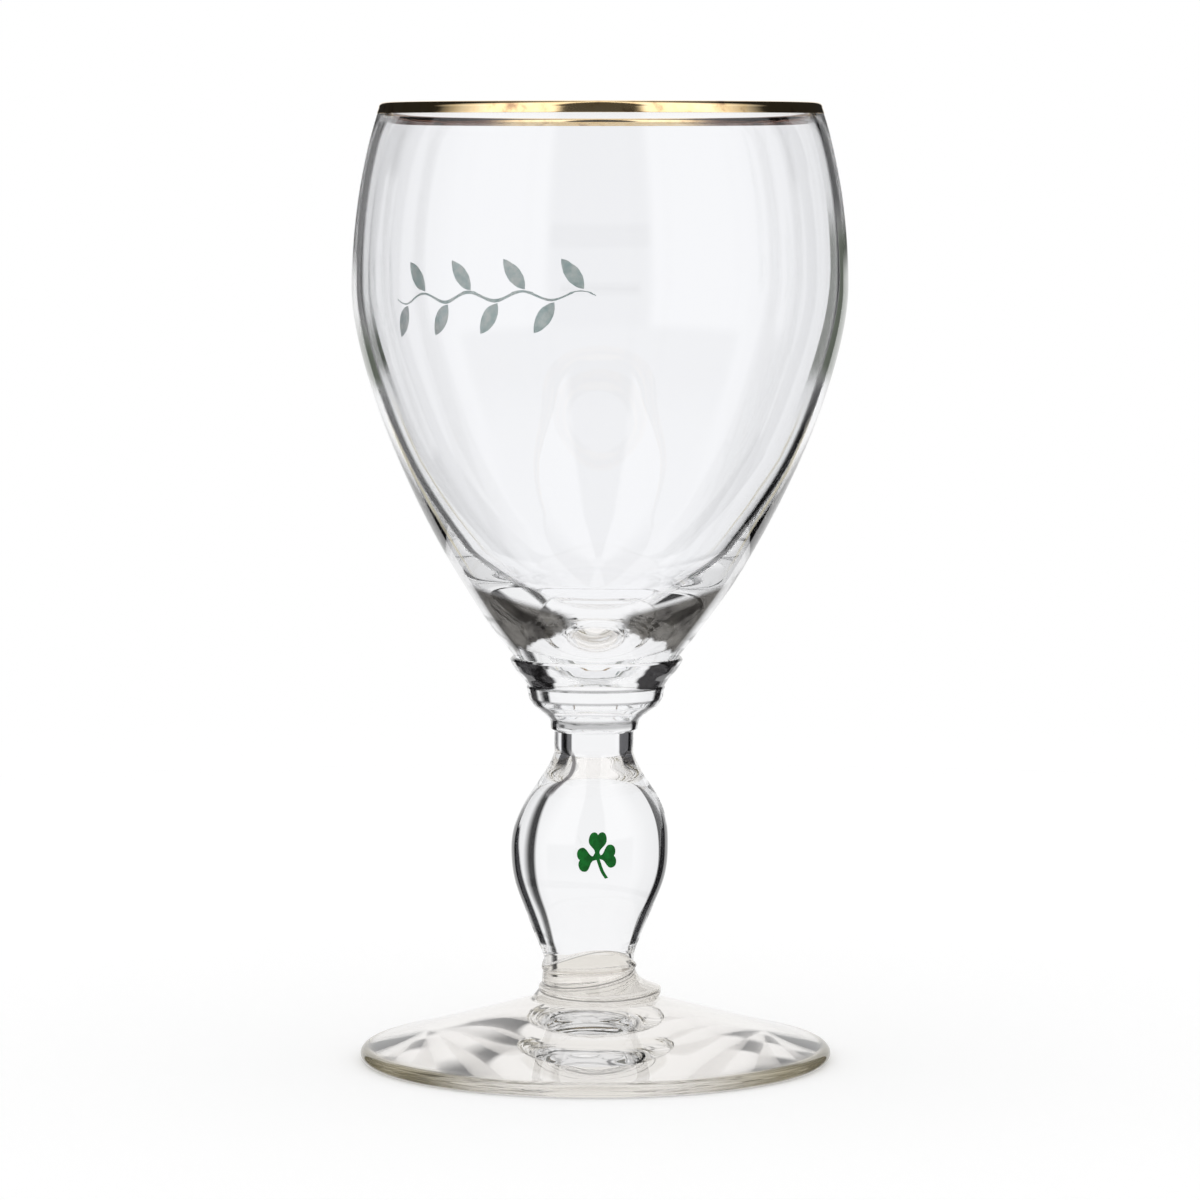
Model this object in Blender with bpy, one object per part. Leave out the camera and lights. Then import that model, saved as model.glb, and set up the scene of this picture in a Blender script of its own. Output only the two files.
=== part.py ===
# Stemmed whisky goblet: bowl, collar, stem, joint, foot, gold rim and enamel prints.
# Metres, +Z up, standing on z = 0 with the stem on the Z axis. The front is -Y.

import math

import bmesh
import bpy

MM = 0.001

# Overall size
HEIGHT = 140.3 * MM
BOWL_R = 36.15 * MM
FOOT_R = 34.75 * MM
RIM_R = 32.2 * MM

# Heights of the seams between the glass pieces, and the gap kept at each
FOOT_SEAM_Z = 8.8 * MM
JOINT_SEAM_Z = 17.25 * MM
NECK_SEAM_Z = 48.4 * MM
BOWL_SEAM_Z = 59.3 * MM
SEAM_GAP = 0.3 * MM

# Bowl
BELLY_Z = 113.7 * MM
BOWL_BASE_R = 11.9 * MM
BASE_SLOPE = math.radians(40.5)
LIP_THICKNESS = 1.5 * MM
BELLY_WALL = 1.4 * MM
LOW_WALL = 3.1 * MM
BOWL_FLOOR_Z = 62.5 * MM
FLOOR_TURN_Z = 77.0 * MM
FLOOR_SLOPE = math.radians(37.0)

# Collar
COLLAR_TOP_R = 12.65 * MM
COLLAR_WAIST_R = 10.05 * MM
COLLAR_RING_Z = 55.1 * MM
COLLAR_RING_H = 1.7 * MM
NECK_RING_R = 6.45 * MM
NECK_RING_H = 1.4 * MM

# Stem
NECK_R = 5.8 * MM
NECK_LOW_Z = 45.4 * MM
KNOP_R = 11.5 * MM
KNOP_Z = 31.4 * MM
STEM_LOW_R = 7.4 * MM

# Wrung joint
JOINT_LOW_R = 9.6 * MM
LEDGE_DROP = 1.8 * MM
LEDGE_SWAY = 1.3 * MM
LEDGE_STEP = 0.35 * MM
GROOVE_RISE = 3.4 * MM
GROOVE_SWAY = 1.2 * MM
GROOVE_DEPTH = 0.45 * MM
GROOVE_WIDTH = 0.9 * MM
LOBE_RISE = 1.5 * MM
LOBE_HEIGHT = 1.6 * MM
LOBE_REACH = 2.0 * MM
LOBE_TURN = math.radians(70.0)

# Foot
FOOT_EDGE = 2.2 * MM
FOOT_HOLLOW = 4.0 * MM
REST_INNER_R = 30.5 * MM
REST_OUTER_R = 33.0 * MM

# Gold and enamel films
FILM = 0.16 * MM
FILM_GAP = 0.1 * MM
GOLD_DROP = 1.6 * MM
GOLD_INSIDE = 0.7 * MM
CLOVER_Z = 31.2 * MM
CLOVER_TOP = 3.65 * MM
CLOVER_SIDE = 2.75 * MM
CLOVER_TOP_WIDTH = 2.65 * MM
CLOVER_SIDE_WIDTH = 3.5 * MM
CLOVER_NECK = 0.7 * MM
STALK_LENGTH = 3.1 * MM
STALK_WIDTH = 0.5 * MM
CLOVER_ANGLE = math.radians(-88.0)
GARLAND_Z = 110.6 * MM
GARLAND_START = math.radians(91.0)
GARLAND_TURN = math.radians(60.0)
VINE_WAVE = 0.7 * MM
VINE_WIDTH = 0.5 * MM
LEAF_COUNT = 8
LEAF_LENGTH = 5.8 * MM
LEAF_WIDTH = 2.5 * MM
LEAF_LEAN = math.radians(38.0)
FILM_FACET = 1.9 * MM

# Fineness of the meshes
AROUND = 48
FINE = 10
COARSE = 5


def clear_scene():
    for old in list(bpy.data.objects):
        bpy.data.objects.remove(old, do_unlink=True)


def bezier(start, start_handle, end_handle, end, steps):
    """Points of a cubic curve, with both ends."""
    points = []
    for i in range(steps + 1):
        t = i / steps
        weights = ((1 - t) ** 3, 3 * t * (1 - t) ** 2, 3 * t * t * (1 - t), t**3)
        knots = (start, start_handle, end_handle, end)
        points.append(tuple(sum(w * k[axis] for w, k in zip(weights, knots)) for axis in range(2)))
    return points


def arc(centre, radius, first, last, steps):
    """Points of a circular arc between two angles."""
    points = []
    for i in range(steps + 1):
        angle = first + (last - first) * i / steps
        points.append((centre[0] + radius * math.cos(angle), centre[1] + radius * math.sin(angle)))
    return points


def joined(*lines):
    """One line from several, without the points that repeat."""
    points = []
    for line in lines:
        for point in line:
            if not points or math.dist(points[-1], point) > 1e-6:
                points.append(point)
    return points


def offset(line, distance):
    """The line moved to its left by a distance."""
    moved = []
    for i, (r, z) in enumerate(line):
        before = line[max(i - 1, 0)]
        after = line[min(i + 1, len(line) - 1)]
        length = math.dist(before, after)
        across = (after[1] - before[1]) / length
        along = (after[0] - before[0]) / length
        moved.append((r - across * distance, z + along * distance))
    return moved


def radius_at(line, z):
    """Radius of an outline that climbs or falls in z, at one height."""
    for (r0, z0), (r1, z1) in zip(line, line[1:]):
        if min(z0, z1) <= z <= max(z0, z1) and z0 != z1:
            return r0 + (r1 - r0) * (z - z0) / (z1 - z0)
    return line[-1][0]


def finish_mesh(name, mesh):
    bmesh.ops.remove_doubles(mesh, verts=mesh.verts, dist=1e-7)
    bmesh.ops.recalc_face_normals(mesh, faces=mesh.faces)
    data = bpy.data.meshes.new(name)
    mesh.to_mesh(data)
    mesh.free()
    part = bpy.data.objects.new(name, data)
    bpy.context.collection.objects.link(part)
    return part


def lathe(name, outline, closed=False):
    """A solid turned about Z. An open outline starts and ends on the axis."""
    mesh = bmesh.new()
    verts = [mesh.verts.new((r, 0, z)) for r, z in outline]
    edges = [mesh.edges.new(pair) for pair in zip(verts, verts[1:])]
    if closed:
        edges.append(mesh.edges.new((verts[-1], verts[0])))
    bmesh.ops.spin(mesh, geom=verts + edges, cent=(0, 0, 0), axis=(0, 0, 1), angle=math.tau, steps=AROUND)
    return finish_mesh(name, mesh)


def folded_lathe(name, outline, fold):
    """A solid turned about Z whose radius also depends on the angle. It has flat ends."""
    mesh = bmesh.new()
    rings = []
    for r, z in outline:
        ring = []
        for j in range(AROUND):
            angle = math.tau * j / AROUND
            reach = r + fold(angle, z)
            ring.append(mesh.verts.new((reach * math.cos(angle), reach * math.sin(angle), z)))
        rings.append(ring)
    for low, high in zip(rings, rings[1:]):
        for j in range(AROUND):
            k = (j + 1) % AROUND
            mesh.faces.new((low[j], low[k], high[k], high[j]))
    mesh.faces.new(reversed(rings[0]))
    mesh.faces.new(rings[-1])
    return finish_mesh(name, mesh)


def film(name, outline, angle, height, surface):
    """A thin patch that wraps a flat outline onto a turned surface, from an angle and a height."""
    mesh = bmesh.new()
    mesh.faces.new([mesh.verts.new((x, y, 0)) for x, y in outline])
    for axis in range(2):
        low = min(point[axis] for point in outline)
        high = max(point[axis] for point in outline)
        cuts = math.ceil((high - low) / FILM_FACET)
        for i in range(1, cuts):
            place = [0.0, 0.0, 0.0]
            place[axis] = low + (high - low) * i / cuts
            normal = [0.0, 0.0, 0.0]
            normal[axis] = 1.0
            geometry = list(mesh.verts) + list(mesh.edges) + list(mesh.faces)
            bmesh.ops.bisect_plane(mesh, geom=geometry, plane_co=place, plane_no=normal, dist=1e-7)
    bmesh.ops.triangulate(mesh, faces=list(mesh.faces))
    sheet = bmesh.ops.extrude_face_region(mesh, geom=list(mesh.faces))
    top = [item for item in sheet["geom"] if isinstance(item, bmesh.types.BMVert)]
    bmesh.ops.translate(mesh, verts=top, vec=(0, 0, FILM))
    middle_r = radius_at(surface, height)
    for vert in mesh.verts:
        z = height + vert.co.y
        reach = radius_at(surface, z) + FILM_GAP + vert.co.z
        turn = angle + vert.co.x / middle_r
        vert.co = (reach * math.cos(turn), reach * math.sin(turn), z)
    return finish_mesh(name, mesh)


# Outlines of the bowl, from the base up and back down the inside
lip_z = HEIGHT - FILM - FILM_GAP
lip_r = LIP_THICKNESS / 2
bowl_base_z = BOWL_SEAM_Z + SEAM_GAP
lower_handle = BELLY_Z - bowl_base_z
base_handle = 0.362 * lower_handle
outer_low = bezier(
    (BOWL_BASE_R, bowl_base_z),
    (BOWL_BASE_R + base_handle * math.sin(BASE_SLOPE), bowl_base_z + base_handle * math.cos(BASE_SLOPE)),
    (BOWL_R, BELLY_Z - 0.243 * lower_handle),
    (BOWL_R, BELLY_Z),
    FINE + 2,
)
outer_high = bezier(
    (BOWL_R, BELLY_Z),
    (BOWL_R, BELLY_Z + 0.53 * (lip_z - BELLY_Z)),
    (RIM_R + 0.5 * MM, lip_z - 2.2 * MM),
    (RIM_R, lip_z - lip_r),
    COARSE + 2,
)
lip = arc((RIM_R - lip_r, lip_z - lip_r), lip_r, 0, math.pi, 6)
inner_belly_r = BOWL_R - BELLY_WALL
inner_high = bezier(
    (RIM_R - LIP_THICKNESS, lip_z - lip_r),
    (RIM_R - LIP_THICKNESS + 0.6 * MM, lip_z - 2.2 * MM),
    (inner_belly_r, BELLY_Z + 0.53 * (lip_z - BELLY_Z)),
    (inner_belly_r, BELLY_Z),
    COARSE + 1,
)
turn_r = radius_at(outer_low, FLOOR_TURN_Z) - LOW_WALL
floor_drop = FLOOR_TURN_Z - BOWL_FLOOR_Z
floor_handle = 0.62 * floor_drop
inner_low = bezier(
    (inner_belly_r, BELLY_Z),
    (inner_belly_r, BELLY_Z - 0.14 * lower_handle),
    (turn_r + floor_drop * math.sin(FLOOR_SLOPE), FLOOR_TURN_Z + floor_drop * math.cos(FLOOR_SLOPE)),
    (turn_r, FLOOR_TURN_Z),
    FINE,
)
inner_floor = bezier(
    (turn_r, FLOOR_TURN_Z),
    (turn_r - floor_handle * math.sin(FLOOR_SLOPE), FLOOR_TURN_Z - floor_handle * math.cos(FLOOR_SLOPE)),
    (0.29 * turn_r, BOWL_FLOOR_Z),
    (0, BOWL_FLOOR_Z),
    COARSE + 2,
)

# Length of the garland along the bowl, and of each leaf's share of it
GARLAND_LENGTH = GARLAND_TURN * radius_at(outer_low, GARLAND_Z)
LEAF_STEP = GARLAND_LENGTH / LEAF_COUNT

# Outline of the collar, from its lower face up
collar_low_z = NECK_SEAM_Z + SEAM_GAP
neck_ring_top = collar_low_z + NECK_RING_H
ring_low_z = COLLAR_RING_Z - COLLAR_RING_H
collar_line = joined(
    [(0, collar_low_z), (NECK_RING_R - 0.1 * MM, collar_low_z), (NECK_RING_R, neck_ring_top)],
    bezier(
        (NECK_RING_R + 0.2 * MM, neck_ring_top),
        (NECK_RING_R + 1.0 * MM, neck_ring_top + 1.1 * MM),
        (COLLAR_WAIST_R - 0.6 * MM, ring_low_z - 1.0 * MM),
        (COLLAR_WAIST_R - 0.4 * MM, ring_low_z),
        COARSE - 1,
    ),
    [(COLLAR_WAIST_R - 0.2 * MM, ring_low_z), (COLLAR_WAIST_R, COLLAR_RING_Z - 0.2 * MM)],
    bezier(
        (COLLAR_WAIST_R - 0.1 * MM, COLLAR_RING_Z),
        (COLLAR_WAIST_R + 0.2 * MM, COLLAR_RING_Z + 1.2 * MM),
        (COLLAR_TOP_R - 0.4 * MM, BOWL_SEAM_Z - 1.6 * MM),
        (COLLAR_TOP_R, BOWL_SEAM_Z - 0.3 * MM),
        COARSE,
    ),
    [(COLLAR_TOP_R - 0.3 * MM, BOWL_SEAM_Z), (0, BOWL_SEAM_Z)],
)

# Outline of the stem, from its lower face up
stem_low_z = JOINT_SEAM_Z + SEAM_GAP
lower_knop = bezier(
    (STEM_LOW_R, stem_low_z),
    (STEM_LOW_R + 2.7 * MM, stem_low_z + 0.52 * (KNOP_Z - stem_low_z)),
    (KNOP_R, KNOP_Z - 0.39 * (KNOP_Z - stem_low_z)),
    (KNOP_R, KNOP_Z),
    FINE,
)
upper_knop = bezier(
    (KNOP_R, KNOP_Z),
    (KNOP_R, KNOP_Z + 0.53 * (NECK_LOW_Z - KNOP_Z)),
    (NECK_R + 1.5 * MM, NECK_LOW_Z - 0.35 * (NECK_LOW_Z - KNOP_Z)),
    (NECK_R, NECK_LOW_Z),
    FINE - 2,
)
stem_side = joined(lower_knop, upper_knop, [(NECK_R, NECK_SEAM_Z)])
stem_line = joined([(0, stem_low_z)], stem_side, [(0, NECK_SEAM_Z)])

# Outline of the joint, and the folds that wringing leaves in it
joint_low_z = FOOT_SEAM_Z + SEAM_GAP
joint_height = JOINT_SEAM_Z - joint_low_z
joint_side = bezier(
    (JOINT_LOW_R, joint_low_z),
    (STEM_LOW_R - 1.5 * MM, joint_low_z + 0.28 * joint_height),
    (STEM_LOW_R - 1.4 * MM, JOINT_SEAM_Z - 0.34 * joint_height),
    (STEM_LOW_R, JOINT_SEAM_Z),
    2 * FINE - 2,
)


def bump(distance, width):
    """1 in the middle of a fold, and near 0 half its width away."""
    return math.exp(-((2.2 * distance / width) ** 2))


def wrung_fold(angle, z):
    """A ledge that rises and falls twice a turn, a slanting groove under it and a lobe at the right."""
    share = min(max((z - joint_low_z) / joint_height, 0), 1)
    fade = min(1, 6 * share, 6 * (1 - share))
    turn = angle + math.pi / 2
    ledge_z = JOINT_SEAM_Z - LEDGE_DROP + LEDGE_SWAY * math.cos(2 * turn)
    groove_z = joint_low_z + GROOVE_RISE + GROOVE_SWAY * math.sin(turn - 0.57)
    from_right = math.remainder(turn - math.pi / 2, math.tau)
    ledge = LEDGE_STEP * min(max((ledge_z - z) / LEDGE_STEP, 0), 1)
    groove = GROOVE_DEPTH * bump(z - groove_z, GROOVE_WIDTH)
    lobe = LOBE_REACH * bump(z - joint_low_z - LOBE_RISE, LOBE_HEIGHT) * bump(from_right, LOBE_TURN)
    return fade * (ledge - groove + lobe)


# Outline of the foot, from the middle of its hollow round to its top
foot_hollow = bezier(
    (0, FOOT_HOLLOW),
    (0.4 * REST_INNER_R, FOOT_HOLLOW),
    (0.72 * REST_INNER_R, 0.2 * FOOT_HOLLOW),
    (REST_INNER_R, 0),
    COARSE + 1,
)
foot_edge = bezier(
    (REST_OUTER_R, 0),
    (FOOT_R + 0.2 * MM, 0),
    (FOOT_R + 0.35 * MM, 0.8 * FOOT_EDGE),
    (FOOT_R - 1.2 * MM, FOOT_EDGE),
    COARSE + 1,
)
foot_top = bezier(
    (FOOT_R - 1.2 * MM, FOOT_EDGE),
    (0.86 * FOOT_R, FOOT_EDGE + 0.12 * (FOOT_SEAM_Z - FOOT_EDGE)),
    (0.55 * FOOT_R, FOOT_SEAM_Z - 0.36 * (FOOT_SEAM_Z - FOOT_EDGE)),
    (JOINT_LOW_R, FOOT_SEAM_Z),
    FINE - 2,
)


def turned(line, angle):
    """The line turned about (0, 0)."""
    c, s = math.cos(angle), math.sin(angle)
    return [(x * c - y * s, x * s + y * c) for x, y in line]


def clover_leaf(length, width, direction):
    """A heart leaf with a narrow neck, from near the middle of the clover and back."""
    half = joined(
        bezier(
            (CLOVER_NECK / 2, 0.2 * length),
            (CLOVER_NECK / 2, 0.4 * length),
            (width / 2, 0.45 * length),
            (width / 2, 0.7 * length),
            4,
        ),
        bezier(
            (width / 2, 0.7 * length),
            (width / 2, 1.07 * length),
            (0.1 * width, 1.07 * length),
            (0, 0.9 * length),
            5,
        ),
    )
    return turned(half + [(-x, y) for x, y in half[-2::-1]], direction - math.pi / 2)


def clover_outline():
    """Three heart leaves on one curved stalk, as a single closed line."""
    points = clover_leaf(CLOVER_SIDE, CLOVER_SIDE_WIDTH, math.radians(6))
    points += clover_leaf(CLOVER_TOP, CLOVER_TOP_WIDTH, math.radians(90))
    points += clover_leaf(CLOVER_SIDE, CLOVER_SIDE_WIDTH, math.radians(188))
    stalk = bezier(
        (-0.2 * STALK_WIDTH, -CLOVER_NECK / 2),
        (0.1 * STALK_LENGTH, -0.5 * STALK_LENGTH),
        (0.15 * STALK_LENGTH, -0.7 * STALK_LENGTH),
        (0.4 * STALK_LENGTH, -STALK_LENGTH),
        4,
    )
    return points + stalk + [(x + STALK_WIDTH, y + 0.3 * STALK_WIDTH) for x, y in stalk[::-1]]


def vine_height(x):
    """Middle line of the garland's vine."""
    return VINE_WAVE * math.sin(math.tau * x / (2 * LEAF_STEP))


def vine_outline():
    """A narrow waving strip that thins out at its ends."""
    steps = 10 * LEAF_COUNT // 2
    middle = [i / steps for i in range(steps + 1)]
    upper = []
    lower = []
    for share in middle:
        x = share * GARLAND_LENGTH
        half = VINE_WIDTH / 2 * (0.35 + 0.65 * math.sin(math.pi * share))
        upper.append((x, vine_height(x) + half))
        lower.append((x, vine_height(x) - half))
    return lower + upper[::-1]


def leaf_outline(x, side):
    """A pointed leaf that leans along the vine, above it or below it."""
    edge = bezier(
        (0.0, 0.0),
        (0.75 * LEAF_WIDTH, 0.3 * LEAF_LENGTH),
        (0.5 * LEAF_WIDTH, 0.75 * LEAF_LENGTH),
        (0.0, LEAF_LENGTH),
        7,
    )
    whole = edge[:-1] + [(-across, along) for across, along in edge[:0:-1]]
    base = vine_height(x) + side * (VINE_WIDTH / 2 + FILM_GAP)
    return [(x + across, base + side * along) for across, along in turned(whole, -LEAF_LEAN)][::side]


clear_scene()

lathe("bowl", joined([(0, bowl_base_z)], outer_low, outer_high, lip, inner_high, inner_low, inner_floor))
lathe("collar", collar_line)
lathe("stem", stem_line)
folded_lathe("stem_joint", joint_side, wrung_fold)
lathe("foot", joined(foot_hollow, foot_edge, foot_top, [(0, FOOT_SEAM_Z)]))

gold_start = (radius_at(outer_high, lip_z - GOLD_DROP), lip_z - GOLD_DROP)
gold_end = (RIM_R - LIP_THICKNESS, lip_z - lip_r - GOLD_INSIDE)
gold_line = joined([gold_start], lip, [gold_end])
gold_section = offset(gold_line, -FILM_GAP - FILM) + offset(gold_line, -FILM_GAP)[::-1]
lathe("gold_rim", gold_section, closed=True)

film("clover", clover_outline(), CLOVER_ANGLE, CLOVER_Z, stem_side)

bowl_side = joined(outer_low, outer_high)
film("vine", vine_outline(), GARLAND_START, GARLAND_Z, bowl_side)
for n in range(LEAF_COUNT):
    side = 1 if n % 2 == 0 else -1
    film(f"leaf_{n + 1}", leaf_outline((n + 0.4) * LEAF_STEP, side), GARLAND_START, GARLAND_Z, bowl_side)
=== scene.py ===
# Looks of the stemmed whisky goblet: clear glass, a fired gold rim and enamel prints.

import math

import bmesh
import bpy
import numpy as np
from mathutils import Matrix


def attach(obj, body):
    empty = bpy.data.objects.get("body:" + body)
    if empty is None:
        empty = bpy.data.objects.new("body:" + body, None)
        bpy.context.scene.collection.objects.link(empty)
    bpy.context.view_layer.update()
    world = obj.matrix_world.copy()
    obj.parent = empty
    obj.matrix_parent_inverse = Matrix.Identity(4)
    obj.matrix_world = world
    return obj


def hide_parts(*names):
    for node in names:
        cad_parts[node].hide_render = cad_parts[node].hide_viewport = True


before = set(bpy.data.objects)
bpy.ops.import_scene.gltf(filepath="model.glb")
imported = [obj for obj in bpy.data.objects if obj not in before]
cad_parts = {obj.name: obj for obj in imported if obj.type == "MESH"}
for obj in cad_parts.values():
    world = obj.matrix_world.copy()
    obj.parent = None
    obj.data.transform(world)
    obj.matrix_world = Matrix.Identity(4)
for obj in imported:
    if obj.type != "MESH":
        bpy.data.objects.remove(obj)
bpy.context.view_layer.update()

MM = 0.001

# Sizes shared with the solids
HEIGHT = 140.3 * MM
BOWL_R = 36.15 * MM
FOOT_R = 34.75 * MM
RIM_R = 32.2 * MM
FOOT_SEAM_Z = 8.95 * MM
JOINT_LOW_R = 9.6 * MM
JOINT_SEAM_Z = 17.4 * MM
NECK_SEAM_Z = 48.55 * MM
BOWL_SEAM_Z = 59.45 * MM
BOWL_BASE_R = 11.9 * MM
NECK_R = 5.8 * MM
NECK_LOW_Z = 45.4 * MM
KNOP_R = 11.5 * MM
KNOP_Z = 31.4 * MM
STEM_LOW_R = 7.4 * MM
BELLY_Z = 113.7 * MM
LIP_THICKNESS = 1.5 * MM
AROUND = 320


def bezier(start, start_handle, end_handle, end, steps):
    t = np.linspace(0, 1, steps + 1)[:, None]
    knots = [np.array(k, float) for k in (start, start_handle, end_handle, end)]
    weights = ((1 - t) ** 3, 3 * t * (1 - t) ** 2, 3 * t * t * (1 - t), t**3)
    return sum(w * k for w, k in zip(weights, knots))


def arc(centre, radius, first, last, steps):
    a = np.linspace(first, last, steps + 1)
    return np.stack([centre[0] + radius * np.cos(a), centre[1] + radius * np.sin(a)], 1)


def joined(*lines):
    points = []
    for line in lines:
        for point in np.atleast_2d(np.array(line, float)):
            if not points or np.linalg.norm(points[-1] - point) > 1e-7:
                points.append(point)
    return np.array(points)


def rounded(corners, radii, steps=5):
    """A line through corners, with each inner corner rounded to a radius."""
    corners = [np.array(c, float) for c in corners]
    out = [corners[0][None]]
    for before, corner, after, radius in zip(corners, corners[1:], corners[2:], radii):
        u = (before - corner) / np.linalg.norm(before - corner)
        v = (after - corner) / np.linalg.norm(after - corner)
        half = math.acos(max(-1, min(1, float(u @ v)))) / 2
        room = 0.45 * min(np.linalg.norm(before - corner), np.linalg.norm(after - corner))
        cut = min(radius / math.tan(half), room)
        start = corner + u * cut
        end = corner + v * cut
        t = np.linspace(0, 1, steps + 1)[:, None]
        out.append((1 - t) ** 2 * start + 2 * t * (1 - t) * corner + t * t * end)
    out.append(corners[-1][None])
    return joined(*out)


def spaced(line, step):
    """The line with points no further apart than step."""
    out = [line[0]]
    for a, b in zip(line, line[1:]):
        n = max(1, math.ceil(np.linalg.norm(b - a) / step))
        for i in range(1, n + 1):
            out.append(a + (b - a) * i / n)
    return np.array(out)


def radius_at(line, z):
    order = np.argsort(line[:, 1])
    return np.interp(z, line[order, 1], line[order, 0])


# The slight sideways lean that hand work left in the stem and bowl
LEAN_Z = np.array([0, 9, 13.5, 18, 31, 40, 47, 54, 62, 72, 95, 140]) * MM
LEAN_X = np.array([0, 0, -0.95, -1.12, -0.87, -0.35, -0.25, 0.05, 0.18, 0.45, 0.62, 0.75]) * MM


def step(x):
    t = np.clip(x, 0, 1)
    return t * t * (3 - 2 * t)


def lean(z):
    k = np.clip(np.searchsorted(LEAN_Z, z) - 1, 0, len(LEAN_Z) - 2)
    share = step((z - LEAN_Z[k]) / (LEAN_Z[k + 1] - LEAN_Z[k]))
    return LEAN_X[k] + (LEAN_X[k + 1] - LEAN_X[k]) * share


def spline(at, places, values):
    """A smooth curve through values, with no bend at its ends."""
    h = np.diff(places)
    n = len(places)
    matrix = np.eye(n)
    right = np.zeros(n)
    for k in range(1, n - 1):
        matrix[k, k - 1 : k + 2] = (h[k - 1], 2 * (h[k - 1] + h[k]), h[k])
        right[k] = 6 * ((values[k + 1] - values[k]) / h[k] - (values[k] - values[k - 1]) / h[k - 1])
    bend = np.linalg.solve(matrix, right)
    k = np.clip(np.searchsorted(places, at) - 1, 0, n - 2)
    a = (places[k + 1] - at) / h[k]
    b = (at - places[k]) / h[k]
    curve = a * values[k] + b * values[k + 1]
    return curve + ((a**3 - a) * bend[k] + (b**3 - b) * bend[k + 1]) * h[k] ** 2 / 6


def mesh_object(name, points, faces, smooth=True):
    mesh = bpy.data.meshes.new(name)
    mesh.from_pydata([tuple(p) for p in points], [], [tuple(f) for f in faces])
    mesh.polygons.foreach_set("use_smooth", [smooth] * len(mesh.polygons))
    mesh.update()
    part = bpy.data.objects.new(name, mesh)
    bpy.context.scene.collection.objects.link(part)
    return part


def shell(name, outline, shape=None, closed=False, around=AROUND):
    """A surface turned about the axis. shape(angle, r, z) may move its points."""
    outline = np.array(outline)
    angles = np.arange(around) * math.tau / around
    points = []
    faces = []
    rows = []
    for r, z in outline:
        if r < 1e-7:
            rows.append([len(points)])
            points.append((lean(z), 0.0, z))
            continue
        rr = np.full(around, r)
        zz = np.full(around, z)
        if shape:
            rr, zz = shape(angles, rr, zz)
        start = len(points)
        rows.append(list(range(start, start + around)))
        points += list(zip(rr * np.cos(angles) + lean(zz), rr * np.sin(angles), zz))
    pairs = list(zip(rows, rows[1:]))
    if closed:
        pairs.append((rows[-1], rows[0]))
    for low, high in pairs:
        for j in range(around):
            k = (j + 1) % around
            if len(low) == 1:
                faces.append((low[0], high[k], high[j]))
            elif len(high) == 1:
                faces.append((low[j], low[k], high[0]))
            else:
                faces.append((low[j], low[k], high[k], high[j]))
    return mesh_object(name, points, faces)


# Bowl outline, from the base up the outside and down the inside
lip_z = HEIGHT - 0.06 * MM
lip_r = LIP_THICKNESS / 2
low_len = BELLY_Z - BOWL_SEAM_Z
slope = math.radians(40.5)
outer_low = bezier(
    (BOWL_BASE_R, BOWL_SEAM_Z),
    (BOWL_BASE_R + 0.362 * low_len * math.sin(slope), BOWL_SEAM_Z + 0.362 * low_len * math.cos(slope)),
    (BOWL_R, BELLY_Z - 0.243 * low_len),
    (BOWL_R, BELLY_Z),
    70,
)
outer_high = bezier(
    (BOWL_R, BELLY_Z),
    (BOWL_R, BELLY_Z + 0.53 * (lip_z - BELLY_Z)),
    (RIM_R + 0.5 * MM, lip_z - 2.2 * MM),
    (RIM_R, lip_z - lip_r),
    34,
)
lip = arc((RIM_R - lip_r, lip_z - lip_r), lip_r, 0, math.pi, 16)
bowl_side = joined(outer_low, outer_high)

# Wall thickness by height, down to where the inside turns in to its floor
WALL_Z = np.array([70, 75, 81, 88, 96, 104, 113.7, 124, 134, 136.5, 139.5]) * MM
WALL = np.array([4.2, 3.35, 2.5, 1.93, 1.72, 1.57, 1.4, 1.23, 1.2, 1.26, 1.49]) * MM
TURN_Z = 77.0 * MM
TURN_REACH = 9.0 * MM
FLOOR_Z = 62.5 * MM
FLOOR_FLAT_R = 6.0 * MM
inner_heights = np.linspace(lip_z - lip_r, TURN_Z, 150)
inner_radii = radius_at(bowl_side, inner_heights) - spline(inner_heights, WALL_Z, WALL)
inner_side = np.stack([inner_radii, inner_heights], 1)
inward = inner_side[-1] - inner_side[-4]
inward = inward / np.linalg.norm(inward)
inner_floor = bezier(
    inner_side[-1],
    inner_side[-1] + inward * TURN_REACH,
    (FLOOR_FLAT_R, FLOOR_Z),
    (0, FLOOR_Z),
    40,
)
bowl_line = joined(bowl_side, lip, inner_side, inner_floor)

# Stem outline, from the collar down
knop_up = NECK_LOW_Z - KNOP_Z
knop_down = KNOP_Z - JOINT_SEAM_Z
stem_line = joined(
    [(NECK_R, z) for z in np.linspace(NECK_SEAM_Z, NECK_LOW_Z, 8)],
    bezier(
        (NECK_R, NECK_LOW_Z),
        (NECK_R + 1.5 * MM, NECK_LOW_Z - 0.35 * knop_up),
        (KNOP_R, KNOP_Z + 0.53 * knop_up),
        (KNOP_R, KNOP_Z),
        60,
    ),
    bezier(
        (KNOP_R, KNOP_Z),
        (KNOP_R, KNOP_Z - 0.39 * knop_down),
        (STEM_LOW_R + 2.7 * MM, JOINT_SEAM_Z + 0.52 * knop_down),
        (STEM_LOW_R, JOINT_SEAM_Z),
        60,
    ),
)

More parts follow.
